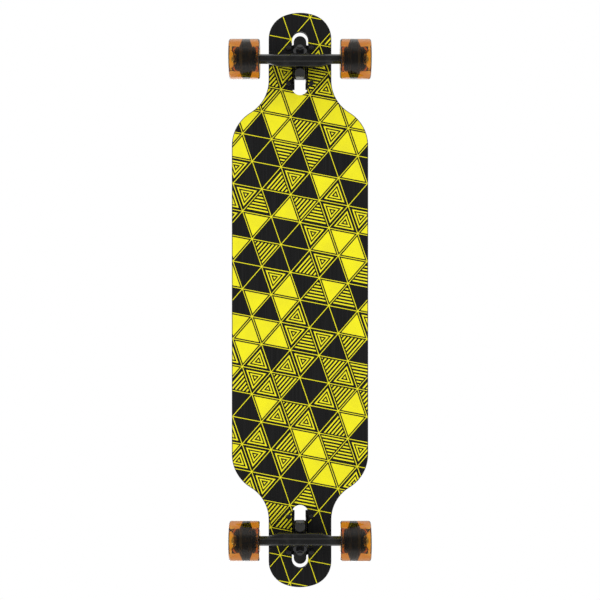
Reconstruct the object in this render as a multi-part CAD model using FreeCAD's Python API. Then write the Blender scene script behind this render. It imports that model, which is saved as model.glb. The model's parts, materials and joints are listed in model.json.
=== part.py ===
import FreeCAD, Part
import math
import os

# Drop-through longboard standing on its four wheels.
# X runs along the deck towards the nose, Y across it along the axles, Z up from the floor.
# The origin is on the floor below the middle of the deck. Millimetres throughout.

# Deck
deck_length = 1041.0
deck_width = 247.0
deck_thickness = 11.0
deck_edge_round = 2.5
nose_width = 113.6
nose_end_radius = 80.0
nose_corner_radius = 45.0
neck_length = 122.5
neck_hollow_radius = 68.0
shoulder_radius = 70.0
tape_thickness = 1.0
tape_trim_gap = 0.5
slot_side_gap = 2.0
slot_toe_gap = 7.5
slot_heel_gap = 23.0

# Truck position and steering geometry
truck_setback = 94.5
steer_angle = 45.0
yoke_forward = 9.0
yoke_drop = 25.0
axle_drop = 35.0

# Base plate
flange_length = 82.0
flange_width = 54.0
flange_thickness = 6.0
flange_taper = 6.0
flange_edge_round = 1.5
mount_offset = 2.5
body_width = 25.2
toe_width = 23.0
toe_reach = 53.0
toe_clearance = 2.0
heel_reach = 32.0
cheek_drop = 7.0
channel_width = 19.6
channel_recess_depth = 3.0
channel_recess_length = 27.0
seat_wall = 8.0
seat_margin = 1.0

# Pivot
pivot_tube_radius = 8.5
pivot_tube_start = 33.0
pivot_tube_end = 45.5
pivot_cup_radius = 6.5
pivot_cup_bottom = 1.5
pivot_end_wall = 2.5
pivot_pin_radius = 4.5
pivot_running_gap = 0.05
pivot_end_gap = 0.3
hanger_clearance = 1.0

# Kingpin stack, measured along the kingpin
kingpin_radius = 4.75
kingpin_head_flats = 14.0
kingpin_head_height = 6.0
kingpin_nut_height = 8.0
kingpin_thread_end = 2.0
kingpin_washer_radius = 12.5
base_washer_thickness = 1.2
cup_washer_thickness = 1.5
board_bushing_height = 12.0
road_bushing_height = 10.5
bushing_radius = 12.3
bushing_end_radius = 11.0
road_bushing_tip_radius = 9.5
yoke_thickness = 7.0
yoke_radius = 19.5
yoke_hole_radius = 7.0
yoke_flare_start = 7.0
yoke_shoulder_level = 1.0
yoke_shoulder_half_width = 42.0
yoke_base_half_width = 46.0

# Hanger and axle
hanger_width = 165.0
bar_flats = 15.6
bar_edge_round = 1.2
spigot_radius = 7.5
spigot_length = 8.0
belly_depth = 14.0
belly_flat = 72.0
belly_span = 128.0
belly_height = 12.0
belly_edge_round = 3.0
web_heel_height = 3.9
stem_radius = 6.0
axle_radius = 4.0
axle_thread_end = 2.0
axle_nut_flats = 13.0
axle_nut_height = 6.0
speed_washer_radius = 6.2
speed_washer_thickness = 1.0

# Wheel and bearings
wheel_diameter = 70.0
wheel_width = 54.0
wheel_lip_radius = 4.0
wheel_recess_depth = 12.5
recess_mouth_radius = 19.0
recess_floor_step = 1.5
core_barrel_radius = 14.0
core_barrel_overhang = 0.5
core_stop_radius = 9.5
core_flange_radius = 24.0
core_flange_root = 23.0
core_flange_rim = 11.0
bearing_radius = 11.0
bearing_width = 7.0
bearing_spacer_length = 10.0
spacer_radius = 5.2
inner_ring_radius = 5.9
outer_ring_bore = 9.2
ball_radius = 1.98
ball_count = 7
race_gap = 0.3
shield_thickness = 0.5
shield_inset = 0.4
shield_gap = 0.3

# Deck hardware
bolt_spacing_long = 63.5
bolt_spacing_wide = 41.3
bolt_radius = 2.4
bolt_hole_gap = 0.2
bolt_head_radius = 4.75
bolt_head_height = 3.0
bolt_head_round = 1.2
bolt_cross_width = 1.1
bolt_cross_depth = 1.6
bolt_cross_length = 5.4
bolt_thread_end = 2.0
deck_nut_flats = 8.0
deck_nut_height = 5.0
nut_crown_share = 0.08

V = FreeCAD.Vector
TOUCH = 0.001
ACROSS = V(0, 1, 0)
UP = V(0, 0, 1)

# Places worked out from the sizes above
half_length = deck_length / 2
half_width = deck_width / 2
half_nose = nose_width / 2
axle_x = half_length - truck_setback
axle_z = wheel_diameter / 2
yoke_z = axle_z + axle_drop
deck_top = yoke_z + yoke_drop
deck_bottom = deck_top - deck_thickness
flange_top = deck_top + flange_thickness
tilt = math.radians(steer_angle)
steer_axis = V(-math.cos(tilt), 0, -math.sin(tilt))
kingpin_axis = V(math.sin(tilt), 0, -math.cos(tilt))
yoke_centre = V(yoke_forward, 0, yoke_z)
steer_frame = FreeCAD.Placement(
    yoke_centre, FreeCAD.Rotation(steer_axis, ACROSS, kingpin_axis, "XYZ")
)

# Levels along the kingpin, counted from the middle of the yoke towards the road
board_bushing_top = -yoke_thickness / 2 - board_bushing_height
seat_level = board_bushing_top - base_washer_thickness
head_level = seat_level - seat_wall
road_bushing_end = yoke_thickness / 2 + road_bushing_height
nut_level = road_bushing_end + cup_washer_thickness
nut_end = nut_level + kingpin_nut_height

# Stations across the wheel, counted outwards from the middle of the board
hanger_end = hanger_width / 2
bearing_start = hanger_end + speed_washer_thickness
spacer_start = bearing_start + bearing_width
outer_bearing_start = spacer_start + bearing_spacer_length
bearing_stop = outer_bearing_start + bearing_width
axle_nut_start = bearing_stop + speed_washer_thickness
axle_end = axle_nut_start + axle_nut_height + axle_thread_end
wheel_inner_face = bearing_start - wheel_recess_depth
wheel_outer_face = wheel_inner_face + wheel_width
core_start = bearing_start - core_barrel_overhang
core_stop = bearing_stop + core_barrel_overhang
core_middle = (core_start + core_stop) / 2
pitch_radius = (inner_ring_radius + outer_ring_bore) / 2


def steer_point(along, towards_road):
    return yoke_centre + steer_axis * along + kingpin_axis * towards_road


def placed(shape, placement):
    moved = shape.copy()
    moved.Placement = placement.multiply(moved.Placement)
    return moved


def prism(points, direction):
    return Part.Face(Part.makePolygon(points + points[:1])).extrude(direction)


def side_prism(profile, width):
    points = [V(x, -width / 2, z) for x, z in profile]
    return prism(points, V(0, width, 0))


def tube(outer, inner, low, high):
    body = Part.makeCylinder(outer, high - low, V(0, 0, low))
    return body.cut(Part.makeCylinder(inner, high - low, V(0, 0, low)))


def turned(profile):
    points = [V(radius, 0, height) for radius, height in profile]
    return Part.Face(Part.makePolygon(points + points[:1])).revolve(V(), UP, 360)


def hexagon(flats, low, high):
    corner = flats / math.sqrt(3)
    angles = [math.radians(60 * step) for step in range(6)]
    points = [V(corner * math.cos(a), corner * math.sin(a), low) for a in angles]
    return prism(points, V(0, 0, high - low))


def lock_nut(flats, bore, low, high):
    chamfer = flats * nut_crown_share
    limit = flats / math.sqrt(3)
    crown = turned([(0, low), (limit, low), (limit, high - chamfer), (limit - 2 * chamfer, high), (0, high)])
    nut = hexagon(flats, low, high).common(crown)
    return nut.cut(Part.makeCylinder(bore, high - low, V(0, 0, low)))


def arc(start, middle, end):
    return Part.Arc(start, middle, end).toShape()


def on_circle(centre, radius, degrees):
    angle = math.radians(degrees)
    return centre + V(radius * math.cos(angle), radius * math.sin(angle), 0)


def arc_between(centre, radius, start, end):
    middle = (start + end) / 2
    return arc(*[on_circle(centre, radius, degrees) for degrees in (start, middle, end)])


def quarter_outline(inset):
    """Deck edge from the nose tip to the middle of the left side, moved inwards by inset."""
    end_radius = nose_end_radius - inset
    corner_radius = nose_corner_radius - inset
    hollow = neck_hollow_radius + inset
    shoulder = shoulder_radius - inset
    end_centre = V(half_length - nose_end_radius, 0, 0)
    corner_y = half_nose - nose_corner_radius
    reach = nose_end_radius - nose_corner_radius
    corner_centre = end_centre + V(math.sqrt(reach**2 - corner_y**2), corner_y, 0)
    corner_turn = math.degrees(math.asin(corner_y / reach))
    rise = half_width - half_nose
    radii = neck_hollow_radius + shoulder_radius
    run = math.sqrt(2 * rise * radii - rise**2)
    sweep = math.degrees(math.asin(run / radii))
    if rise > radii:
        sweep = 180 - sweep
    neck_x = half_length - neck_length
    hollow_centre = V(neck_x, half_nose + neck_hollow_radius, 0)
    shoulder_centre = V(neck_x - run, half_width - shoulder_radius, 0)
    neck_start = on_circle(corner_centre, corner_radius, 90)
    neck_end = on_circle(hollow_centre, hollow, 270)
    side_start = on_circle(shoulder_centre, shoulder, 90)
    return [
        arc_between(end_centre, end_radius, 0, corner_turn),
        arc_between(corner_centre, corner_radius, corner_turn, 90),
        Part.makeLine(neck_start, neck_end),
        arc_between(hollow_centre, hollow, 270, 270 - sweep),
        arc_between(shoulder_centre, shoulder, 90 - sweep, 90),
        Part.makeLine(side_start, V(0, side_start.y, 0)),
    ]


def deck_plate(inset, low, high):
    """Solid plate with the deck's outline, whose four quarters mirror each other."""
    quarter = quarter_outline(inset)
    half = quarter + [edge.mirror(V(), V(1, 0, 0)) for edge in quarter]
    edges = half + [edge.mirror(V(), ACROSS) for edge in half]
    wire = Part.Wire(Part.__sortEdges__(edges))
    wire.translate(V(0, 0, low))
    return Part.Face(wire).extrude(V(0, 0, high - low))


def both_ends(shape):
    """A piece of the nose truck, and its twin at the tail."""
    nose = placed(shape, FreeCAD.Placement(V(axle_x, 0, 0), FreeCAD.Rotation()))
    tail = placed(nose, FreeCAD.Placement(V(), FreeCAD.Rotation(UP, 180)))
    return {"front": nose, "rear": tail}


def export(name, *solids):
    shape = solids[0] if len(solids) == 1 else Part.makeCompound(list(solids))
    shape.exportStep("parts/" + name + ".step")


def bolt_places():
    for along in (-1, 1):
        for across in (-1, 1):
            yield V(along * bolt_spacing_long / 2 - mount_offset, across * bolt_spacing_wide / 2, 0)


def flange_outline(grow):
    """Truck plate outline: parallel sides, drawn in at the outer end to the toe."""
    heel = -flange_length / 2 - mount_offset - grow
    toe = flange_length / 2 - mount_offset + grow
    side = flange_width / 2 + grow
    tip = toe_width / 2 + grow
    corner = toe - flange_taper
    return [(heel, -side), (corner, -side), (toe, -tip), (toe, tip), (corner, side), (heel, side)]


def flange_plate(grow, low, high):
    points = [V(x, y, low) for x, y in flange_outline(grow)]
    return prism(points, V(0, 0, high - low))


def slot_cut():
    """Round-ended opening that the truck drops through."""
    width = body_width + 2 * slot_side_gap
    heel = -heel_reach - slot_heel_gap + width / 2
    toe = toe_reach + slot_toe_gap - width / 2
    height = deck_thickness + 2 * tape_thickness
    box = Part.makeBox(toe - heel, width, height, V(heel, -width / 2, deck_bottom))
    ends = [Part.makeCylinder(width / 2, height, V(x, 0, deck_bottom)) for x in (heel, toe)]
    return box.fuse(ends)


def bolt_holes(low, high):
    radius = bolt_radius + bolt_hole_gap
    return [Part.makeCylinder(radius, high - low, place + V(0, 0, low)) for place in bolt_places()]


def deck():
    plate = deck_plate(0, deck_bottom, deck_top)
    rims = [edge for edge in plate.Edges if abs(edge.BoundBox.ZLength) < TOUCH]
    plate = plate.makeFillet(deck_edge_round, rims)
    cuts = []
    for tool in [slot_cut()] + bolt_holes(deck_bottom, deck_top):
        cuts += both_ends(tool).values()
    return plate.cut(cuts)


def grip_tape():
    sheet = deck_plate(deck_edge_round, deck_top, deck_top + tape_thickness)
    window = flange_plate(tape_trim_gap, deck_top, deck_top + tape_thickness)
    cuts = []
    for tool in (slot_cut(), window):
        cuts += both_ends(tool).values()
    return sheet.cut(cuts)


def toe_block():
    """Rounded outer end of the casting, high enough to clear the yoke below it."""
    yoke_top = yoke_z + yoke_radius * math.sin(tilt) + yoke_thickness / 2 * math.cos(tilt)
    low = yoke_top + toe_clearance
    radius = toe_width / 2
    start = flange_length / 2 - mount_offset - flange_taper - radius
    box = Part.makeBox(toe_reach - radius - start, toe_width, deck_top - low, V(start, -radius, low))
    return box.fuse(Part.makeCylinder(radius, deck_top - low, V(toe_reach - radius, 0, low)))


def baseplate():
    seat_root = steer_point(0, seat_level)
    seat_top = V(seat_root.x + (deck_top - seat_root.z) / math.tan(tilt), 0, deck_top)
    seat_foot = steer_point(kingpin_washer_radius + seat_margin, seat_level)
    cheek_foot = V(-heel_reach, 0, seat_foot.z - cheek_drop)
    heel_top = V(-heel_reach, 0, deck_top)
    neck = [
        seat_foot,
        steer_point(pivot_tube_start, -pivot_tube_radius),
        steer_point(pivot_tube_start, 0),
        steer_point(pivot_tube_end, 0),
        steer_point(pivot_tube_end, -pivot_tube_radius),
        cheek_foot,
    ]
    cheeks = [seat_top, seat_foot, cheek_foot, heel_top]
    tube_length = pivot_tube_end - pivot_tube_start
    housing = Part.makeCylinder(
        pivot_tube_radius, tube_length, steer_point(pivot_tube_start, 0), steer_axis
    )
    flange = flange_plate(0, deck_top, flange_top)
    rims = [edge for edge in flange.Edges if edge.BoundBox.ZMin > flange_top - flange_edge_round / 2]
    flange = flange.makeFillet(flange_edge_round, rims)
    body = flange.fuse([
        side_prism([(p.x, p.z) for p in cheeks], body_width),
        side_prism([(p.x, p.z) for p in neck], 2 * pivot_tube_radius),
        toe_block(),
        housing,
    ])

    reach = 2 * flange_length
    channel = Part.makeBox(
        2 * reach,
        channel_width,
        reach,
        V(-reach, -channel_width / 2, head_level - reach),
    )
    recess = Part.makeBox(
        channel_recess_length,
        channel_width,
        channel_recess_depth,
        V(0, -channel_width / 2, flange_top - channel_recess_depth),
    )
    kingpin_bore = Part.makeCylinder(kingpin_radius, seat_wall, V(0, 0, head_level))
    cup_bore = Part.makeCylinder(
        pivot_cup_radius, tube_length - pivot_end_wall, steer_point(pivot_tube_start, 0), steer_axis
    )
    cuts = [placed(channel, steer_frame), recess, placed(kingpin_bore, steer_frame), cup_bore]
    return body.cut(cuts + bolt_holes(deck_top, flange_top)).removeSplitter()


def pivot_cup():
    length = pivot_tube_end - pivot_tube_start - pivot_end_wall
    start = steer_point(pivot_tube_start, 0)
    cup = Part.makeCylinder(pivot_cup_radius, length, start, steer_axis)
    bore = pivot_pin_radius + pivot_running_gap
    return cup.cut(Part.makeCylinder(bore, length - pivot_cup_bottom, start, steer_axis))


def kingpin():
    head = hexagon(kingpin_head_flats, head_level - kingpin_head_height, head_level)
    shank_length = nut_end + kingpin_thread_end - head_level
    shank = Part.makeCylinder(kingpin_radius, shank_length, V(0, 0, head_level))
    return placed(head.fuse(shank), steer_frame)


def kingpin_nut():
    nut = lock_nut(kingpin_head_flats, kingpin_radius, nut_level, nut_end)
    return placed(nut, steer_frame)


def kingpin_washers():
    base = tube(kingpin_washer_radius, kingpin_radius, seat_level, board_bushing_top)
    cup = tube(kingpin_washer_radius, kingpin_radius, road_bushing_end, nut_level)
    return [placed(base, steer_frame), placed(cup, steer_frame)]


def board_bushing():
    """Barrel bushing between the casting and the yoke."""
    low = board_bushing_top
    high = -yoke_thickness / 2
    third = (high - low) / 3
    profile = [
        (kingpin_radius, low),
        (bushing_end_radius, low),
        (bushing_radius, low + third),
        (bushing_radius, high - third),
        (bushing_end_radius, high),
        (kingpin_radius, high),
    ]
    return placed(turned(profile), steer_frame)


def road_bushing():
    """Cone bushing between the yoke and the kingpin nut."""
    low = yoke_thickness / 2
    high = road_bushing_end
    third = (high - low) / 3
    profile = [
        (kingpin_radius, low),
        (bushing_end_radius, low),
        (bushing_radius, low + third),
        (road_bushing_tip_radius, high),
        (kingpin_radius, high),
    ]
    return placed(turned(profile), steer_frame)


def hanger_bar():
    straight = hanger_width - 2 * spigot_length
    bar = hexagon(bar_flats, -straight / 2, straight / 2)
    edges = [edge for edge in bar.Edges if edge.BoundBox.ZLength > straight / 2]
    bar = bar.makeFillet(bar_edge_round, edges)
    spigots = Part.makeCylinder(spigot_radius, hanger_width, V(0, 0, -hanger_width / 2))
    upright = FreeCAD.Rotation(UP, ACROSS)
    return placed(bar.fuse(spigots), FreeCAD.Placement(V(0, 0, axle_z), upright))


def hanger_belly():
    """Thicker middle of the bar, on the side away from the nose."""
    low = axle_z - belly_height / 2
    root = (bar_flats - belly_height / 2) / math.sqrt(3)
    side_points = [(0, belly_span / 2), (-root, belly_span / 2), (-belly_depth, belly_flat / 2)]
    outline = side_points + [(x, -y) for x, y in reversed(side_points)]
    block = prism([V(x, y, low) for x, y in outline], V(0, 0, belly_height))
    level = [edge for edge in block.Edges if abs(edge.BoundBox.ZLength) < TOUCH]
    rims = [edge for edge in level if edge.BoundBox.XMin < -belly_depth / 2]
    return block.makeFillet(belly_edge_round, rims)


def hanger_yoke():
    """Ring around the kingpin and the web that carries it down to the bar."""
    clear = kingpin_washer_radius + hanger_clearance
    half = yoke_thickness / 2
    corner = bar_flats / 2
    ring_back = [steer_point(-yoke_radius, half), steer_point(clear, half)]
    ring_front = [steer_point(clear + half, -half), steer_point(-yoke_radius, -half)]
    bar_outer = V(corner, 0, axle_z)
    bar_inner = V(-corner, 0, axle_z + web_heel_height)
    profile = [(p.x, p.z) for p in ring_back + [bar_outer, bar_inner] + ring_front]
    side = side_prism(profile, 2 * yoke_base_half_width)
    foot = yoke_forward * math.cos(tilt) + axle_drop * math.sin(tilt) + corner
    tall = flange_top
    ring_half_width = math.sqrt(yoke_radius**2 - yoke_flare_start**2)
    side_points = [
        (-yoke_flare_start, ring_half_width),
        (yoke_shoulder_level, yoke_shoulder_half_width),
        (foot, yoke_base_half_width),
    ]
    outline = side_points + [(level, -wide) for level, wide in reversed(side_points)]
    plan = prism([V(x, y, -tall) for x, y in outline], V(0, 0, 2 * tall))
    plan = plan.fuse(Part.makeCylinder(yoke_radius, 2 * tall, V(0, 0, -tall)))
    hole = Part.makeCylinder(yoke_hole_radius, 2 * tall, V(0, 0, -tall))
    return side.common(placed(plan, steer_frame)), placed(hole, steer_frame)


def hanger():
    yoke, kingpin_hole = hanger_yoke()
    body = hanger_bar().fuse([hanger_belly(), yoke])
    stem_start = kingpin_washer_radius + hanger_clearance
    stem_length = pivot_tube_start - hanger_clearance - stem_start
    stem = Part.makeCylinder(stem_radius, stem_length, steer_point(stem_start, 0), steer_axis)
    pin_stop = pivot_tube_end - pivot_end_wall - pivot_cup_bottom - pivot_end_gap
    pin = Part.makeCylinder(
        pivot_pin_radius, pin_stop - stem_start, steer_point(stem_start, 0), steer_axis
    )
    sweep = Part.makeCylinder(
        pivot_tube_radius + hanger_clearance,
        pivot_tube_end - pivot_tube_start + 2 * hanger_clearance,
        steer_point(pivot_tube_start - hanger_clearance, 0),
        steer_axis,
    )
    axle_bore = Part.makeCylinder(
        axle_radius, hanger_width, V(0, -hanger_end, axle_z), ACROSS
    )
    body = body.cut(sweep).fuse([stem, pin])
    return body.cut([kingpin_hole, axle_bore]).removeSplitter()


def axle():
    return Part.makeCylinder(axle_radius, 2 * axle_end, V(0, -axle_end, axle_z), ACROSS)


def on_axle(shape, side):
    """Place a piece that was turned about Z on the axle, on the left or the right side."""
    turn = FreeCAD.Rotation(UP, ACROSS * side)
    return placed(shape, FreeCAD.Placement(V(0, 0, axle_z), turn))


def axle_nuts():
    nut = lock_nut(axle_nut_flats, axle_radius, axle_nut_start, axle_nut_start + axle_nut_height)
    return [on_axle(nut, side) for side in (1, -1)]


def speed_washers():
    washers = []
    for start in (hanger_end, bearing_stop):
        washer = tube(speed_washer_radius, axle_radius, start, start + speed_washer_thickness)
        washers += [on_axle(washer, side) for side in (1, -1)]
    return washers


def deck_bolt(place):
    low = deck_bottom - deck_nut_height - bolt_thread_end
    shank = Part.makeCylinder(bolt_radius, flange_top - low, V(0, 0, low))
    head = Part.makeCylinder(bolt_head_radius, bolt_head_height, V(0, 0, flange_top))
    crown = [edge for edge in head.Edges if edge.BoundBox.ZMin > flange_top + bolt_head_height / 2]
    head = head.makeFillet(bolt_head_round, crown)
    floor = flange_top + bolt_head_height - bolt_cross_depth
    half, reach = bolt_cross_width / 2, bolt_cross_length / 2
    long_cut = Part.makeBox(2 * reach, 2 * half, bolt_cross_depth, V(-reach, -half, floor))
    cross_cut = Part.makeBox(2 * half, 2 * reach, bolt_cross_depth, V(-half, -reach, floor))
    bolt = shank.fuse(head).cut([long_cut, cross_cut])
    bolt.translate(place)
    return bolt


def deck_nut(place):
    nut = lock_nut(deck_nut_flats, bolt_radius, 0, deck_nut_height)
    nut.rotate(V(), V(1, 0, 0), 180)
    nut.translate(place + V(0, 0, deck_bottom))
    return nut


def wheel_core():
    root, rim = core_flange_root / 2, core_flange_rim / 2
    return turned([
        (bearing_radius, core_start),
        (core_barrel_radius, core_start),
        (core_barrel_radius, core_middle - root),
        (core_flange_radius, core_middle - rim),
        (core_flange_radius, core_middle + rim),
        (core_barrel_radius, core_middle + root),
        (core_barrel_radius, core_stop),
        (bearing_radius, core_stop),
        (bearing_radius, outer_bearing_start),
        (core_stop_radius, outer_bearing_start),
        (core_stop_radius, spacer_start),
        (bearing_radius, spacer_start),
    ])


def wheel_tyre():
    """Urethane moulded round the core, with soft lips and a dished recess on each face."""
    tread = wheel_diameter / 2
    floor = core_barrel_radius + recess_floor_step
    blank = turned([
        (axle_radius, core_start),
        (floor, core_start),
        (recess_mouth_radius, wheel_inner_face),
        (tread, wheel_inner_face),
        (tread, wheel_outer_face),
        (recess_mouth_radius, wheel_outer_face),
        (floor, core_stop),
        (axle_radius, core_stop),
    ])
    lips = [
        edge for edge in blank.Edges
        if len(edge.Vertexes) == 1 and abs(edge.Curve.Radius - tread) < TOUCH
    ]
    blank = blank.makeFillet(wheel_lip_radius, lips)
    barrel = Part.makeCylinder(bearing_radius, core_stop - core_start, V(0, 0, core_start))
    return blank.cut(wheel_core().fuse(barrel))


def bearing_starts():
    return (bearing_start, outer_bearing_start)


def race(middle):
    groove = Part.makeTorus(pitch_radius, ball_radius + race_gap)
    groove.translate(V(0, 0, middle))
    return groove


def bearing_outer(start):
    ring = tube(bearing_radius, outer_ring_bore, start, start + bearing_width)
    ring = ring.cut(race(start + bearing_width / 2))
    bore = inner_ring_radius + shield_gap
    far = start + bearing_width - shield_inset - shield_thickness
    shields = [
        tube(outer_ring_bore, bore, low, low + shield_thickness)
        for low in (start + shield_inset, far)
    ]
    return ring.fuse(shields)


def bearing_inner(start):
    ring = tube(inner_ring_radius, axle_radius, start, start + bearing_width)
    return ring.cut(race(start + bearing_width / 2))


def bearing_balls(start):
    middle = start + bearing_width / 2
    balls = []
    for index in range(ball_count):
        place = on_circle(V(0, 0, middle), pitch_radius, 360 * index / ball_count)
        balls.append(Part.makeSphere(ball_radius, place))
    return balls


def bearing_spacer():
    return tube(spacer_radius, axle_radius, spacer_start, outer_bearing_start)


def wheel_pieces():
    return {
        "tyre": [wheel_tyre()],
        "core": [wheel_core()],
        "bearing_outer_rings": [bearing_outer(start) for start in bearing_starts()],
        "bearing_inner_rings": [bearing_inner(start) for start in bearing_starts()],
        "bearing_balls": bearing_balls(bearing_start) + bearing_balls(outer_bearing_start),
        "bearing_spacer": [bearing_spacer()],
    }


def truck_pieces():
    return {
        "baseplate": [baseplate()],
        "pivot_cup": [pivot_cup()],
        "kingpin": [kingpin()],
        "kingpin_nut": [kingpin_nut()],
        "kingpin_washers": kingpin_washers(),
        "board_bushing": [board_bushing()],
        "road_bushing": [road_bushing()],
        "hanger": [hanger()],
        "axle": [axle()],
        "axle_nuts": axle_nuts(),
        "speed_washers": speed_washers(),
        "deck_bolts": [deck_bolt(place) for place in bolt_places()],
        "deck_nuts": [deck_nut(place) for place in bolt_places()],
    }


def main():
    os.makedirs("parts", exist_ok=True)
    export("deck", deck())
    export("grip_tape", grip_tape())
    for name, solids in truck_pieces().items():
        ends = [both_ends(solid) for solid in solids]
        for end in ("front", "rear"):
            export(end + "_" + name, *[pair[end] for pair in ends])
    # Left is the +Y side of the board at both ends, so the tail truck's own sides are swapped.
    for name, solids in wheel_pieces().items():
        for side in (1, -1):
            ends = [both_ends(on_axle(solid, side)) for solid in solids]
            left_at = {"front": side, "rear": -side}
            for end in ("front", "rear"):
                hand = "left" if left_at[end] > 0 else "right"
                export(end + "_" + hand + "_" + name, *[pair[end] for pair in ends])


main()
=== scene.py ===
import bpy
import bmesh
import json
import math
from mathutils import Matrix, Vector


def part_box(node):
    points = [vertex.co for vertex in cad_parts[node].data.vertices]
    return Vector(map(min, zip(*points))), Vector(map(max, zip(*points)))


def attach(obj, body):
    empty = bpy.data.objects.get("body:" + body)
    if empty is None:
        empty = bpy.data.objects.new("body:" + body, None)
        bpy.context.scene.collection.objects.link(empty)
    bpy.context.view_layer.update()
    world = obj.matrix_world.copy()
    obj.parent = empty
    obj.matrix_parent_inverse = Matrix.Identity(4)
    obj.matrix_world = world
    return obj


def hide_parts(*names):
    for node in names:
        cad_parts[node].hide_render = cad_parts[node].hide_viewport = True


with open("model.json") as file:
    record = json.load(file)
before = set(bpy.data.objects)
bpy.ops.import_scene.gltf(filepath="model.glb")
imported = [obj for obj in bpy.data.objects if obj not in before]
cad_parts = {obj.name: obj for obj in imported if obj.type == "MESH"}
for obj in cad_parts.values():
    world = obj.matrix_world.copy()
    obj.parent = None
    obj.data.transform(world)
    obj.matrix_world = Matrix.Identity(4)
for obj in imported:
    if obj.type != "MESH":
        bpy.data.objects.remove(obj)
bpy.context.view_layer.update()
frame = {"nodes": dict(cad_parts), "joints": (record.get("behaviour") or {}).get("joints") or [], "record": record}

MM = 0.001
ENDS = ("front", "rear")
HANDS = ("left", "right")

# Deck levels and the places of the trucks, read from the frame
deck_low, deck_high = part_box("deck")
half_length = deck_high.x
front_axle_low, front_axle_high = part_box("front_axle")
axle_x = (front_axle_low.x + front_axle_high.x) / 2
axle_z = (front_axle_low.z + front_axle_high.z) / 2
front_bolts_low, front_bolts_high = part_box("front_deck_bolts")
bolt_middle_x = (front_bolts_low.x + front_bolts_high.x) / 2
bolt_head_top = front_bolts_high.z
bearing_face_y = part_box("front_left_bearing_outer_rings")[1].y

# Tyre, measured from the axle
tyre_floor_radius = 15.5 * MM
tyre_mouth_radius = 19.0 * MM
tyre_lip_round = 3.4 * MM
tyre_mouth_round = 1.6 * MM
tyre_root_radius = 12.8 * MM
tyre_root_inset = 0.3 * MM
tyre_segments = 160
tyre_round_steps = 8
urethane_density = 50.0

# Bearing shields, seen between the washer and the outer ring
shield_inner_radius = 6.4 * MM
shield_outer_radius = 9.2 * MM

# Grid on which the edges of castings and bushings are rounded, and how often it is smoothed
casting_grain = 0.8 * MM
bushing_grain = 0.45 * MM
hanger_passes = 4
baseplate_passes = 3
bushing_passes = 4
smoothing_share = 0.5

# Fasteners and their threads
bolt_spacing_long = 63.5 * MM
bolt_spacing_wide = 41.3 * MM
bolt_radius = 2.4 * MM
kingpin_radius = 4.75 * MM
kingpin_tilt = math.radians(45)
thread_pitch = 0.8 * MM
thread_ridge = 0.28 * MM
thread_reach = 2.0 * MM
thread_steps = 28
cross_reach = 2.9 * MM
cross_depth = 2.0 * MM
cross_rim = 0.2 * MM

# Deck: its plies, and the print's triangles, with the share of each kind counted up from none
ply_thickness = 1.375 * MM
glue_line_start = 0.9 * MM
glue_line_full = 1.3 * MM
underside_facing = -0.9
triangle_height = 46 * MM
triangle_turn = math.radians(11)
outline_width = 1.3 * MM
outline_clearance = 2.2 * outline_width
nest_step = 4.6 * MM
hatch_lines = 8.0
hatch_share = 0.45
plain_share = 0.26
nested_share = 0.46
hatched_share = 0.64
nose_fade_start, nose_fade_end, nose_fade_most = 0.40, 0.50, 0.60
tail_fade_start, tail_fade_end, tail_fade_most = -0.28, -0.46, 0.72

# Floor, surround and camera
floor_reach = 30.0
floor_fade_start = 1.2
floor_fade_end = 6.0
ambient_light = 0.5
mirrored_side = 0.7
mirrored_end = 0.2
mirror_fade_start = 0.5
mirror_fade_end = 0.97
camera_distance = 2.1
board_share_of_frame = 575 / 600

# Colours, in linear light
PRINT_YELLOW = (0.82, 0.76, 0.014, 1)
PRINT_PALER = (0.76, 0.70, 0.018, 1)
PRINT_BLACK = (0.009, 0.009, 0.009, 1)
PRINT_GREYER = (0.013, 0.013, 0.013, 1)
EDGE_BLACK = (0.010, 0.010, 0.011, 1)
EDGE_PLY = (0.030, 0.027, 0.024, 1)
GRIP_DARK = (0.005, 0.005, 0.006, 1)
GRIP_LIGHT = (0.019, 0.019, 0.022, 1)
GRIP_GRAIN = (0.055, 0.055, 0.06, 1)
CASTING_BLACK = (0.005, 0.005, 0.005, 1)
CASTING_WORN = (0.011, 0.011, 0.011, 1)
DARK_STEEL = (0.055, 0.055, 0.058, 1)
# Bright steel painted into the bolts' cross recesses as a glint
PAINTED_GLINT_STEEL = (0.75, 0.75, 0.77, 1)
BRIGHT_STEEL = (0.60, 0.60, 0.61, 1)
SHADED_STEEL = (0.46, 0.46, 0.47, 1)
SHIELD_STEEL = (0.15, 0.15, 0.16, 1)
RUBBER_BLACK = (0.014, 0.014, 0.015, 1)
RUBBER_DUSTY = (0.026, 0.026, 0.027, 1)
URETHANE_CLEAR = (0.98, 0.80, 0.28, 1)
URETHANE_CLOUDY = (0.95, 0.73, 0.20, 1)
URETHANE_DEPTH = (0.82, 0.52, 0.014, 1)
CORE_BLACK = (0.004, 0.004, 0.004, 1)
CORE_GREYER = (0.008, 0.008, 0.008, 1)
FLOOR_PALE = (0.90, 0.90, 0.90, 1)
FLOOR_GREYER = (0.88, 0.88, 0.88, 1)
WHITE = (1, 1, 1, 1)


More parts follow.
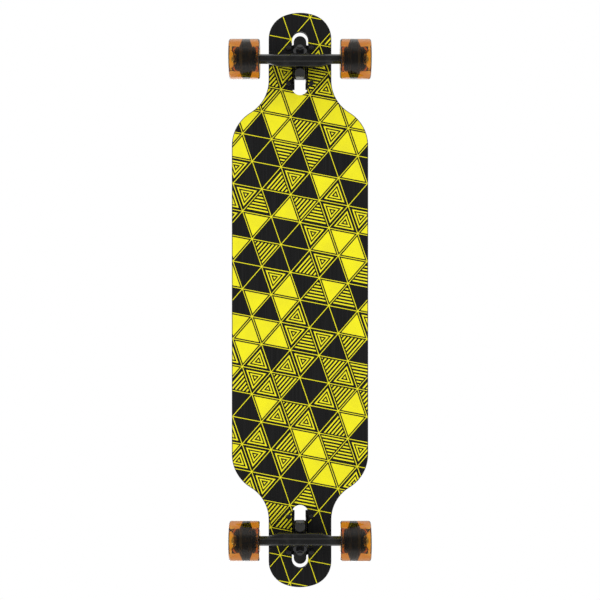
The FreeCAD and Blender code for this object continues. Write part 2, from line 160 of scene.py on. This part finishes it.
class Finish:
    """A surface finish, whose nodes are wired as they are added."""

    def __init__(self, name):
        self.material = bpy.data.materials.new(name)
        self.material.use_nodes = True
        self.tree = self.material.node_tree
        self.shader = self.tree.nodes["Principled BSDF"]
        self.place = self.add("ShaderNodeTexCoord").outputs["Object"]

    def feed(self, socket, value):
        if isinstance(value, bpy.types.NodeSocket):
            self.tree.links.new(value, socket)
        else:
            socket.default_value = value

    def add(self, kind, inputs=(), **settings):
        node = self.tree.nodes.new(kind)
        for key, value in settings.items():
            setattr(node, key, value)
        for key, value in dict(inputs).items():
            self.feed(node.inputs[key], value)
        return node

    def calc(self, operation, *values):
        node = self.add("ShaderNodeMath", operation=operation)
        for socket, value in zip(node.inputs, values):
            self.feed(socket, value)
        return node.outputs[0]

    def ease(self, value, start, end, low=0.0, high=1.0):
        """Smooth change from low to high as value goes from start to end."""
        inputs = {"Value": value, "From Min": start, "From Max": end, "To Min": low, "To Max": high}
        return self.add("ShaderNodeMapRange", inputs, interpolation_type="SMOOTHSTEP").outputs[0]

    def blend(self, share, first, second):
        node = self.add("ShaderNodeMix", data_type="RGBA")
        for socket, value in ((node.inputs[0], share), (node.inputs[6], first), (node.inputs[7], second)):
            self.feed(socket, value)
        return node.outputs[2]

    def both(self, *shares):
        """Share of the surface where every one of the shares holds."""
        whole = shares[0]
        for share in shares[1:]:
            whole = self.calc("MULTIPLY", whole, share)
        return whole

    def reach(self, first, second):
        """Distance of a point from an axis, from its two offsets."""
        squares = [self.calc("MULTIPLY", offset, offset) for offset in (first, second)]
        return self.calc("SQRT", self.calc("ADD", *squares))

    def axes(self, vector):
        return self.add("ShaderNodeSeparateXYZ", {"Vector": vector}).outputs

    def stretched(self, scale):
        return self.add("ShaderNodeMapping", {"Vector": self.place, "Scale": scale}).outputs[0]

    def noise(self, scale, detail=2.0, vector=None):
        inputs = {"Vector": vector or self.place, "Scale": scale, "Detail": detail}
        return self.add("ShaderNodeTexNoise", inputs).outputs[0]

    def bump(self, height, depth, strength=1.0):
        inputs = {"Height": height, "Distance": depth, "Strength": strength}
        return self.add("ShaderNodeBump", inputs).outputs[0]

    def set(self, **inputs):
        for key, value in inputs.items():
            self.feed(self.shader.inputs[key.replace("_", " ")], value)


def lattice(finish, height, turn):
    """Three families of parallel lines that cut the plane into triangles: each one's step, the place
    within it, and how far along the board the middle of the triangle lies."""
    along, across, _ = finish.axes(finish.place)
    steps, places = [], []
    middle = 0.0
    for family in range(3):
        angle = turn + family * math.tau / 3
        reach = finish.calc(
            "ADD",
            finish.calc("MULTIPLY", along, math.cos(angle) / height),
            finish.calc("MULTIPLY", across, math.sin(angle) / height),
        )
        step = finish.calc("FLOOR", reach)
        steps.append(step)
        places.append(finish.calc("FRACT", reach))
        share = finish.calc("MULTIPLY", finish.calc("ADD", step, 0.5), 2 / 3 * height * math.cos(angle))
        middle = finish.calc("ADD", middle, share)
    return steps, places, middle


def mosaic_print(finish):
    """Share of yellow in the print: a mosaic of plain, nested and hatched triangles, darker at the ends."""
    steps, places, middle = lattice(finish, triangle_height, triangle_turn)
    tile = finish.add("ShaderNodeCombineXYZ", dict(zip("XYZ", steps))).outputs[0]
    dice = finish.add("ShaderNodeTexWhiteNoise", {"Vector": tile}, noise_dimensions="3D")
    pick = finish.add("ShaderNodeSeparateColor", {"Color": dice.outputs["Color"]}).outputs
    nose_fade = finish.ease(middle, nose_fade_start, nose_fade_end, 0.0, nose_fade_most)
    tail_fade = finish.ease(middle, tail_fade_start, tail_fade_end, 0.0, tail_fade_most)
    rank = finish.calc("ADD", pick[0], finish.calc("ADD", nose_fade, tail_fade))
    rims = [finish.calc("PINGPONG", place, 0.5) for place in places]
    nearest = finish.calc("MINIMUM", finish.calc("MINIMUM", rims[0], rims[1]), rims[2])
    rim = finish.calc("MULTIPLY", nearest, triangle_height)
    nest = finish.calc("FRACT", finish.calc("DIVIDE", rim, nest_step))
    nested = finish.calc("LESS_THAN", nest, 0.5)
    chosen = finish.calc("GREATER_THAN", pick[1], 0.5)
    side = finish.add("ShaderNodeMix", {"Factor": chosen, "A": places[0], "B": places[1]}).outputs[0]
    hatch = finish.calc("FRACT", finish.calc("MULTIPLY", side, hatch_lines))
    hatched = finish.calc("LESS_THAN", hatch, hatch_share)
    is_nested = finish.calc("LESS_THAN", rank, nested_share)
    lined = finish.add("ShaderNodeMix", {"Factor": is_nested, "A": hatched, "B": nested}).outputs[0]
    filled = finish.both(lined, finish.calc("LESS_THAN", rank, hatched_share))
    body = finish.calc("MAXIMUM", finish.calc("LESS_THAN", rank, plain_share), filled)
    clear = finish.calc("GREATER_THAN", rim, outline_clearance)
    outline = finish.calc("LESS_THAN", rim, outline_width / 2)
    return finish.calc("MAXIMUM", finish.both(body, clear), outline)


def deck_finish():
    """Printed and lacquered underside, black edges with the plies just showing."""
    finish = Finish("printed_maple")
    facing = finish.axes(finish.add("ShaderNodeNewGeometry").outputs["Normal"])[2]
    underside = finish.calc("LESS_THAN", facing, underside_facing)
    grain = finish.noise(1.0, 3.0, finish.stretched((9, 420, 420)))
    mottle = finish.noise(38.0, 3.0)
    yellow = finish.blend(finish.ease(mottle, 0.3, 0.7), PRINT_YELLOW, PRINT_PALER)
    black = finish.blend(finish.ease(grain, 0.35, 0.75), PRINT_BLACK, PRINT_GREYER)
    picture = finish.blend(mosaic_print(finish), black, yellow)
    level = finish.axes(finish.place)[2]
    ply = finish.calc("PINGPONG", finish.calc("SUBTRACT", level, deck_low.z), ply_thickness)
    edge = finish.blend(finish.ease(ply, glue_line_start, glue_line_full), EDGE_BLACK, EDGE_PLY)
    finish.set(
        Base_Color=finish.blend(underside, edge, picture),
        Roughness=finish.ease(grain, 0.2, 0.8, 0.48, 0.62),
        Specular_IOR_Level=0.08,
        Normal=finish.bump(grain, 0.05 * MM, 0.35),
    )
    return finish.material


def grip_finish():
    """Coarse black grit on a matt sheet, with the odd bright grain."""
    finish = Finish("black_grit")
    grains = finish.add("ShaderNodeTexVoronoi", {"Vector": finish.place, "Scale": 1250.0}, feature="F1")
    clumps = finish.noise(520.0, 4.0)
    patches = finish.noise(24.0, 3.0)
    tone = finish.calc("ADD", finish.calc("MULTIPLY", clumps, 0.75), finish.calc("MULTIPLY", patches, 0.25))
    sparkle = finish.add("ShaderNodeSeparateColor", {"Color": grains.outputs["Color"]}).outputs[0]
    base = finish.blend(finish.ease(tone, 0.32, 0.68), GRIP_DARK, GRIP_LIGHT)
    bright = finish.blend(finish.calc("GREATER_THAN", sparkle, 0.982), base, GRIP_GRAIN)
    height = finish.calc("SUBTRACT", clumps, grains.outputs["Distance"])
    finish.set(
        Base_Color=bright,
        Roughness=finish.ease(sparkle, 0.0, 1.0, 0.95, 0.6),
        Specular_IOR_Level=0.2,
        Normal=finish.bump(height, 0.5 * MM, 0.8),
    )
    return finish.material


def casting_finish():
    """Satin black paint over a die casting, a little thinner in places."""
    finish = Finish("black_casting")
    skin = finish.noise(900.0, 3.0)
    wear = finish.noise(60.0, 4.0)
    finish.set(
        Base_Color=finish.blend(finish.ease(wear, 0.45, 0.75), CASTING_BLACK, CASTING_WORN),
        Roughness=finish.ease(wear, 0.3, 0.7, 0.24, 0.36),
        Specular_IOR_Level=0.55,
        Normal=finish.bump(skin, 0.08 * MM, 0.5),
    )
    return finish.material


def dark_steel_finish():
    """Blackened steel, with a painted glint of bright steel in the cross recess of each bolt."""
    finish = Finish("blackened_steel")
    along, across, level = finish.axes(finish.place)
    off_middle = finish.calc("SUBTRACT", finish.calc("ABSOLUTE", along), bolt_middle_x)
    dx = finish.calc("SUBTRACT", finish.calc("ABSOLUTE", off_middle), bolt_spacing_long / 2)
    dy = finish.calc("SUBTRACT", finish.calc("ABSOLUTE", across), bolt_spacing_wide / 2)
    near = finish.calc("LESS_THAN", finish.reach(dx, dy), cross_reach)
    above_floor = finish.calc("GREATER_THAN", level, bolt_head_top - cross_depth)
    below_rim = finish.calc("LESS_THAN", level, bolt_head_top - cross_rim)
    # Painted glint: the cross recess of each bolt head is coloured bright steel in place of the reflections of its
    # facets
    painted_glint = finish.both(near, above_floor, below_rim)
    rub = finish.noise(700.0, 3.0)
    finish.set(
        Base_Color=finish.blend(painted_glint, DARK_STEEL, PAINTED_GLINT_STEEL),
        Metallic=0.85,
        Roughness=finish.ease(rub, 0.3, 0.7, 0.26, 0.42),
        Normal=finish.bump(rub, 0.03 * MM, 0.4),
    )
    return finish.material


def bright_steel_finish():
    """Plated steel with fine turning marks around the axle, and the darker shields of the bearings."""
    finish = Finish("plated_steel")
    along, across, level = finish.axes(finish.place)
    dx = finish.calc("SUBTRACT", finish.calc("ABSOLUTE", along), axle_x)
    dz = finish.calc("SUBTRACT", level, axle_z)
    reach = finish.reach(dx, dz)
    rings = finish.add("ShaderNodeCombineXYZ", {"X": reach, "Y": across})
    marks = finish.noise(2600.0, 2.0, rings.outputs[0])
    cloud = finish.noise(240.0, 3.0)
    plated = finish.blend(finish.ease(cloud, 0.35, 0.7), BRIGHT_STEEL, SHADED_STEEL)
    past_washer = finish.calc("GREATER_THAN", reach, shield_inner_radius)
    inside_ring = finish.calc("LESS_THAN", reach, shield_outer_radius)
    on_bearing = finish.calc("LESS_THAN", finish.calc("ABSOLUTE", across), bearing_face_y)
    shield = finish.both(past_washer, inside_ring, on_bearing)
    finish.set(
        Base_Color=finish.blend(shield, plated, SHIELD_STEEL),
        Metallic=1.0,
        Roughness=finish.ease(marks, 0.3, 0.7, 0.18, 0.34),
        Normal=finish.bump(marks, 0.02 * MM, 0.5),
    )
    return finish.material


def rubber_finish():
    """Moulded black bushing with a dusty bloom."""
    finish = Finish("bushing_rubber")
    bloom = finish.noise(180.0, 4.0)
    finish.set(
        Base_Color=finish.blend(finish.ease(bloom, 0.4, 0.75), RUBBER_BLACK, RUBBER_DUSTY),
        Roughness=finish.ease(bloom, 0.3, 0.7, 0.42, 0.6),
        Normal=finish.bump(bloom, 0.04 * MM, 0.4),
    )
    return finish.material


def urethane_finish():
    """Clear amber urethane, deeper in colour where it is thicker, with a faintly rippled cast skin."""
    finish = Finish("amber_urethane")
    flow = finish.noise(55.0, 2.0)
    skin = finish.noise(420.0, 2.0)
    finish.set(
        Base_Color=finish.blend(finish.ease(flow, 0.3, 0.7), URETHANE_CLEAR, URETHANE_CLOUDY),
        Roughness=finish.ease(skin, 0.3, 0.7, 0.02, 0.07),
        IOR=1.5,
        Specular_IOR_Level=0.3,
        Transmission_Weight=1.0,
        Normal=finish.bump(skin, 0.02 * MM, 0.25),
    )
    inputs = {"Color": URETHANE_DEPTH, "Density": urethane_density}
    depth = finish.add("ShaderNodeVolumeAbsorption", inputs)
    finish.tree.links.new(depth.outputs[0], finish.tree.nodes["Material Output"].inputs["Volume"])
    return finish.material


def core_finish():
    """Moulded black nylon hub."""
    finish = Finish("black_nylon")
    skin = finish.noise(650.0, 3.0)
    finish.set(
        Base_Color=finish.blend(skin, CORE_BLACK, CORE_GREYER),
        Roughness=finish.ease(skin, 0.3, 0.7, 0.32, 0.46),
        Specular_IOR_Level=0.06,
        Normal=finish.bump(skin, 0.03 * MM, 0.4),
    )
    return finish.material


FINISHES = {
    "deck_maple": deck_finish(),
    "grip_grit": grip_finish(),
    "truck_casting": casting_finish(),
    "dark_steel": dark_steel_finish(),
    "bright_steel": bright_steel_finish(),
    "bushing_rubber": rubber_finish(),
    "amber_urethane": urethane_finish(),
    "core_plastic": core_finish(),
}


def dress_frame():
    """Gives every node of the frame the finish of its material slot."""
    for part in frame["record"]["subparts"]:
        for slot in frame["nodes"][part["node"]].material_slots:
            slot.material = FINISHES[part["material_slot"]]


class Recipe:
    """A Geometry Nodes tree with named inputs, wired as it is added."""

    def __init__(self, name):
        self.tree = bpy.data.node_groups.new(name, "GeometryNodeTree")
        self.tree.interface.new_socket("Geometry", in_out="INPUT", socket_type="NodeSocketGeometry")
        self.tree.interface.new_socket("Geometry", in_out="OUTPUT", socket_type="NodeSocketGeometry")
        self.start = self.tree.nodes.new("NodeGroupInput")
        self.end = self.tree.nodes.new("NodeGroupOutput")

    def ask(self, name, kind):
        self.tree.interface.new_socket(name, in_out="INPUT", socket_type="NodeSocket" + kind)
        return self.start.outputs[name]

    def add(self, kind, inputs=(), **settings):
        node = self.tree.nodes.new("GeometryNode" + kind)
        for key, value in settings.items():
            setattr(node, key, value)
        for key, value in dict(inputs).items():
            if isinstance(value, bpy.types.NodeSocket):
                self.tree.links.new(value, node.inputs[key])
            else:
                node.inputs[key].default_value = value
        return node

    def close(self, shape, material):
        whole = self.add("RealizeInstances", {"Geometry": shape}).outputs[0]
        dressed = self.add("SetMaterial", {"Geometry": whole, "Material": material}).outputs[0]
        self.tree.links.new(dressed, self.end.inputs[0])
        return self.tree


def made_by(recipe, source, name, **inputs):
    """Runs a recipe on a source curve or mesh and keeps the result as a plain mesh object."""
    holder = bpy.data.objects.new(name + "_source", source)
    bpy.context.scene.collection.objects.link(holder)
    modifier = holder.modifiers.new("recipe", "NODES")
    modifier.node_group = recipe
    for item in recipe.interface.items_tree:
        if item.in_out == "INPUT" and item.name in inputs:
            modifier[item.identifier] = inputs[item.name]
    depsgraph = bpy.context.evaluated_depsgraph_get()
    mesh = bpy.data.meshes.new_from_object(holder.evaluated_get(depsgraph), depsgraph=depsgraph)
    holder.modifiers.remove(modifier)
    bpy.data.objects.remove(holder)
    mesh.name = name
    piece = bpy.data.objects.new(name, mesh)
    bpy.context.scene.collection.objects.link(piece)
    return piece


def face_outwards(mesh):
    """Joins doubled points and turns every face outwards."""
    shell = bmesh.new()
    shell.from_mesh(mesh)
    bmesh.ops.remove_doubles(shell, verts=shell.verts, dist=0.001 * MM)
    bmesh.ops.recalc_face_normals(shell, faces=shell.faces)
    shell.to_mesh(mesh)
    shell.free()


def turned_recipe(material):
    """Spins a closed profile, drawn as radius and height, around its axis, with its corners rounded."""
    recipe = Recipe("turned_ring")
    segments = recipe.ask("Segments", "Int")
    hub_radius = recipe.ask("Hub radius", "Float")
    round_steps = recipe.ask("Round steps", "Int")
    corner = recipe.add("InputRadius").outputs[0]
    profile = recipe.add(
        "FilletCurve",
        {"Curve": recipe.start.outputs["Geometry"], "Radius": corner, "Count": round_steps},
        mode="POLY",
    )
    path = recipe.add("CurvePrimitiveCircle", {"Resolution": segments, "Radius": hub_radius})
    ring = recipe.add("CurveToMesh", {"Curve": path.outputs[0], "Profile Curve": profile.outputs[0]})
    smooth = recipe.add("SetShadeSmooth", {"Geometry": ring.outputs[0]})
    return recipe.close(smooth.outputs[0], material)


def profile_curve(name, corners, hub_radius):
    """Closed outline of corners (radius, height, rounding), measured from the hub radius."""
    curve = bpy.data.curves.new(name, "CURVE")
    spline = curve.splines.new("POLY")
    spline.points.add(len(corners) - 1)
    for point, (radius, height, rounding) in zip(spline.points, corners):
        point.co = (radius - hub_radius, height, 0, 1)
        point.radius = rounding
    spline.use_cyclic_u = True
    return curve


def tyres():
    """Clear tyres, turned around the cores that show through them. They let light past, so they cast
    no shadow."""
    recipe = turned_recipe(FINISHES["amber_urethane"])
    for end in ENDS:
        for hand in HANDS:
            node = end + "_" + hand + "_tyre"
            low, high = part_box(node)
            core_low, core_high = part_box(end + "_" + hand + "_core")
            tread = (high.z - low.z) / 2
            corners = [
                (tyre_root_radius, core_low.y + tyre_root_inset, 0),
                (tyre_floor_radius, core_low.y, 0),
                (tyre_mouth_radius, low.y, tyre_mouth_round),
                (tread, low.y, tyre_lip_round),
                (tread, high.y, tyre_lip_round),
                (tyre_mouth_radius, high.y, tyre_mouth_round),
                (tyre_floor_radius, core_high.y, 0),
                (tyre_root_radius, core_high.y - tyre_root_inset, 0),
            ]
            hub = tyre_root_radius
            tyre = made_by(
                recipe,
                profile_curve(node + "_profile", corners, hub),
                node + "_cast",
                **{"Segments": tyre_segments, "Hub radius": hub, "Round steps": tyre_round_steps},
            )
            centre = Vector(((low.x + high.x) / 2, 0, (low.z + high.z) / 2))
            stand = Matrix.Translation(centre) @ Matrix.Rotation(math.radians(90), 4, "X")
            tyre.data.transform(stand)
            face_outwards(tyre.data)
            tyre.visible_shadow = False
            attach(tyre, end + "_" + hand + "_wheel")
            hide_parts(node)


def thread_recipe(material):
    """Winds one sharp ridge around the end of a bolt or axle, at each point of the source."""
    recipe = Recipe("cut_thread")
    radius = recipe.ask("Radius", "Float")
    length = recipe.ask("Length", "Float")
    turns = recipe.ask("Turns", "Float")
    ridge = recipe.ask("Ridge", "Float")
    lean = recipe.ask("Lean", "Vector")
    inputs = {"Resolution": thread_steps, "Rotations": turns, "Height": length}
    helix = recipe.add("CurveSpiral", {**inputs, "Start Radius": radius, "End Radius": radius})
    edge = recipe.add("CurvePrimitiveCircle", {"Resolution": 3, "Radius": ridge})
    inputs = {"Curve": helix.outputs[0], "Profile Curve": edge.outputs[0], "Fill Caps": True}
    wound = recipe.add("CurveToMesh", inputs)
    inputs = {"Points": recipe.start.outputs["Geometry"], "Instance": wound.outputs[0], "Rotation": lean}
    copies = recipe.add("InstanceOnPoints", inputs)
    return recipe.close(copies.outputs[0], material)


def wound_thread(name, body, slot, points, radius, length, lean):
    """Thread ridges of one size, each winding from its point along the leaning axis."""
    source = bpy.data.meshes.new(name + "_points")
    source.from_pydata(points, [], [])
    wound = made_by(
        thread_recipe(FINISHES[slot]),
        source,
        name,
        Radius=radius,
        Length=length - thread_ridge,
        Turns=(length - thread_ridge) / thread_pitch,
        Ridge=thread_ridge,
        Lean=lean,
    )
    face_outwards(wound.data)
    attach(wound, body)


def bolt_threads(end):
    """Ridges on the four bolts, below their nuts."""
    low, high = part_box(end + "_deck_bolts")
    nuts_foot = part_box(end + "_deck_nuts")[0].z
    middle = (low.x + high.x) / 2
    feet = []
    for long_side in (-1, 1):
        for wide_side in (-1, 1):
            along = middle + long_side * bolt_spacing_long / 2
            feet.append((along, wide_side * bolt_spacing_wide / 2, low.z + thread_ridge))
    length = nuts_foot - low.z
    upright = Vector((0, 0, 0))
    name = end + "_bolt_threads"
    wound_thread(name, "board", "dark_steel", feet, bolt_radius, length, upright)


def kingpin_thread(end):
    """Ridge on the low end of the kingpin, which leans outwards."""
    steer = next(joint for joint in frame["joints"] if joint["name"] == end + "_steer")
    pivot = Vector(steer["pos_m"])
    outward = math.copysign(1, pivot.x)
    drop = pivot.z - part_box(end + "_kingpin")[0].z - kingpin_radius * math.sin(kingpin_tilt)
    tip = pivot + Vector((outward * drop, 0, -drop))
    leaning = Vector((0, -outward * kingpin_tilt, 0))
    name = end + "_kingpin_thread"
    wound_thread(name, "board", "dark_steel", [tip], kingpin_radius, thread_reach, leaning)


def axle_threads(end):
    """Ridges on both ends of the axle, outside its nuts."""
    low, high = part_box(end + "_axle")
    nuts_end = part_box(end + "_axle_nuts")[1].y
    middle = (low + high) / 2
    radius = (high.z - low.z) / 2
    feet = [(middle.x, y, middle.z) for y in (nuts_end, low.y + thread_ridge)]
    sideways = Vector((math.radians(-90), 0, 0))
    name = end + "_axle_threads"
    wound_thread(name, end + "_truck", "bright_steel", feet, radius, thread_reach, sideways)


def threads():
    """Thread ridges on the ends that stand out of the nuts."""
    for end in ENDS:
        bolt_threads(end)
        kingpin_thread(end)
        axle_threads(end)


def softened(node, grain, passes):
    """Copy of a node, its sharp edges rounded as a mould leaves them, on a grid of the given grain."""
    mesh = frame["nodes"][node].data.copy()
    mesh.materials.clear()
    face_outwards(mesh)
    holder = bpy.data.objects.new(node + "_sharp", mesh)
    bpy.context.scene.collection.objects.link(holder)
    regrid = holder.modifiers.new("regrid", "REMESH")
    regrid.mode = "VOXEL"
    regrid.voxel_size = grain
    regrid.use_smooth_shade = True
    smoothing = holder.modifiers.new("smoothing", "SMOOTH")
    smoothing.factor = smoothing_share
    smoothing.iterations = passes
    depsgraph = bpy.context.evaluated_depsgraph_get()
    soft = bpy.data.meshes.new_from_object(holder.evaluated_get(depsgraph), depsgraph=depsgraph)
    bpy.data.objects.remove(holder)
    soft.name = node + "_moulded"
    piece = bpy.data.objects.new(soft.name, soft)
    bpy.context.scene.collection.objects.link(piece)
    return piece


def moulded_pieces():
    """Castings and bushings, with the soft edges of their moulds."""
    for end in ENDS:
        steered = end + "_truck"
        for name, body, slot, grain, passes in (
            ("hanger", steered, "truck_casting", casting_grain, hanger_passes),
            ("baseplate", "board", "truck_casting", casting_grain, baseplate_passes),
            ("board_bushing", "board", "bushing_rubber", bushing_grain, bushing_passes),
            ("road_bushing", "board", "bushing_rubber", bushing_grain, bushing_passes),
        ):
            node = end + "_" + name
            piece = softened(node, grain, passes)
            piece.data.materials.append(FINISHES[slot])
            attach(piece, body)
            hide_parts(node)


def floor():
    """Pale floor that fades into the white surround. It is seen only from above, so that the view from
    below looks straight through it."""
    mesh = bpy.data.meshes.new("floor")
    corners = [(floor_reach * x, floor_reach * y, 0) for x, y in ((-1, -1), (1, -1), (1, 1), (-1, 1))]
    mesh.from_pydata(corners, [], [(0, 1, 2, 3)])
    sheet = bpy.data.objects.new("floor", mesh)
    bpy.context.scene.collection.objects.link(sheet)
    finish = Finish("pale_floor")
    speck = finish.noise(3.0, 4.0)
    finish.set(
        Base_Color=finish.blend(speck, FLOOR_PALE, FLOOR_GREYER),
        Roughness=0.9,
        Specular_IOR_Level=0.1,
    )
    ray = finish.add("ShaderNodeLightPath").outputs
    back = finish.add("ShaderNodeNewGeometry").outputs["Backfacing"]
    looked = finish.calc("MAXIMUM", ray["Is Camera Ray"], ray["Is Transmission Ray"])
    seen = finish.both(looked, finish.calc("SUBTRACT", 1.0, back))
    depth = finish.calc("ADD", ray["Diffuse Depth"], ray["Is Shadow Ray"])
    bounced = finish.calc("GREATER_THAN", depth, 1.5)
    far = finish.add("ShaderNodeVectorMath", {0: finish.place}, operation="LENGTH").outputs["Value"]
    fading = finish.ease(far, floor_fade_start, floor_fade_end, 1.0, 0.0)
    solid = finish.both(finish.calc("MAXIMUM", seen, bounced), fading)
    clear = finish.add("ShaderNodeBsdfTransparent").outputs[0]
    mix = finish.add("ShaderNodeMixShader", {0: solid, 1: clear, 2: finish.shader.outputs[0]})
    finish.tree.links.new(mix.outputs[0], finish.tree.nodes["Material Output"].inputs["Surface"])
    mesh.materials.append(finish.material)


class Backdrop(Finish):
    """The surround, wired like a finish."""

    def __init__(self, name):
        self.world = bpy.data.worlds.new(name)
        self.world.use_nodes = True
        self.tree = self.world.node_tree
        self.shader = self.tree.nodes["Background"]
        self.place = self.add("ShaderNodeTexCoord").outputs["Generated"]


def backdrop():
    """White surround for the eye, plain soft light for the rest, and dim ends above and below in
    reflections, so that flat black faces stay dark and their rounded edges catch the light."""
    surround = Backdrop("studio")
    ray = surround.add("ShaderNodeLightPath").outputs
    height = surround.calc("ABSOLUTE", surround.axes(surround.place)[2])
    fade = (mirror_fade_start, mirror_fade_end)
    mirrored = surround.ease(height, *fade, mirrored_side, mirrored_end)
    seen = surround.calc("MAXIMUM", ray["Is Camera Ray"], ray["Is Transmission Ray"])
    inputs = {"Factor": ray["Is Glossy Ray"], "A": ambient_light, "B": mirrored}
    unseen = surround.add("ShaderNodeMix", inputs)
    surround.set(Color=WHITE, Strength=surround.calc("MAXIMUM", seen, unseen.outputs[0]))
    bpy.context.scene.world = surround.world


def soft_lamp(name, source, strength, spread):
    """Broad lamp that shines from the direction of source on the whole board alike. One that stands
    below the floor leaves no glint."""
    lamp = bpy.data.lights.new(name, "SUN")
    lamp.energy = strength
    lamp.angle = math.radians(spread)
    holder = bpy.data.objects.new(name, lamp)
    holder.visible_glossy = source[2] > 0
    holder.visible_transmission = False
    holder.rotation_euler = Vector(source).to_track_quat("Z", "Y").to_euler()
    bpy.context.scene.collection.objects.link(holder)


def lights():
    """Key and fill on the top, and again on the underside."""
    soft_lamp("key_above", (-0.45, -0.60, 1.2), 1.2, 60)
    soft_lamp("fill_above", (0.70, 0.55, 0.8), 0.6, 90)
    soft_lamp("key_below", (0.55, -0.60, -1.2), 1.8, 120)
    soft_lamp("fill_below", (-0.60, 0.60, -0.9), 0.8, 120)


def camera():
    """Straight up at the underside, nose at the top, from where the whole board fills the frame."""
    lens = bpy.data.cameras.new("camera")
    lens.sensor_width = 36.0
    lens.lens = lens.sensor_width * camera_distance * board_share_of_frame / (2 * half_length)
    holder = bpy.data.objects.new("camera", lens)
    right, up, back = Vector((0, 1, 0)), Vector((1, 0, 0)), Vector((0, 0, -1))
    turn = Matrix((right, up, back)).transposed().to_4x4()
    holder.matrix_world = Matrix.Translation((0, 0, deck_low.z - camera_distance)) @ turn
    bpy.context.scene.collection.objects.link(holder)
    bpy.context.scene.camera = holder


dress_frame()
tyres()
moulded_pieces()
threads()
floor()
backdrop()
lights()
camera()
bpy.context.scene.view_settings.view_transform = "Standard"
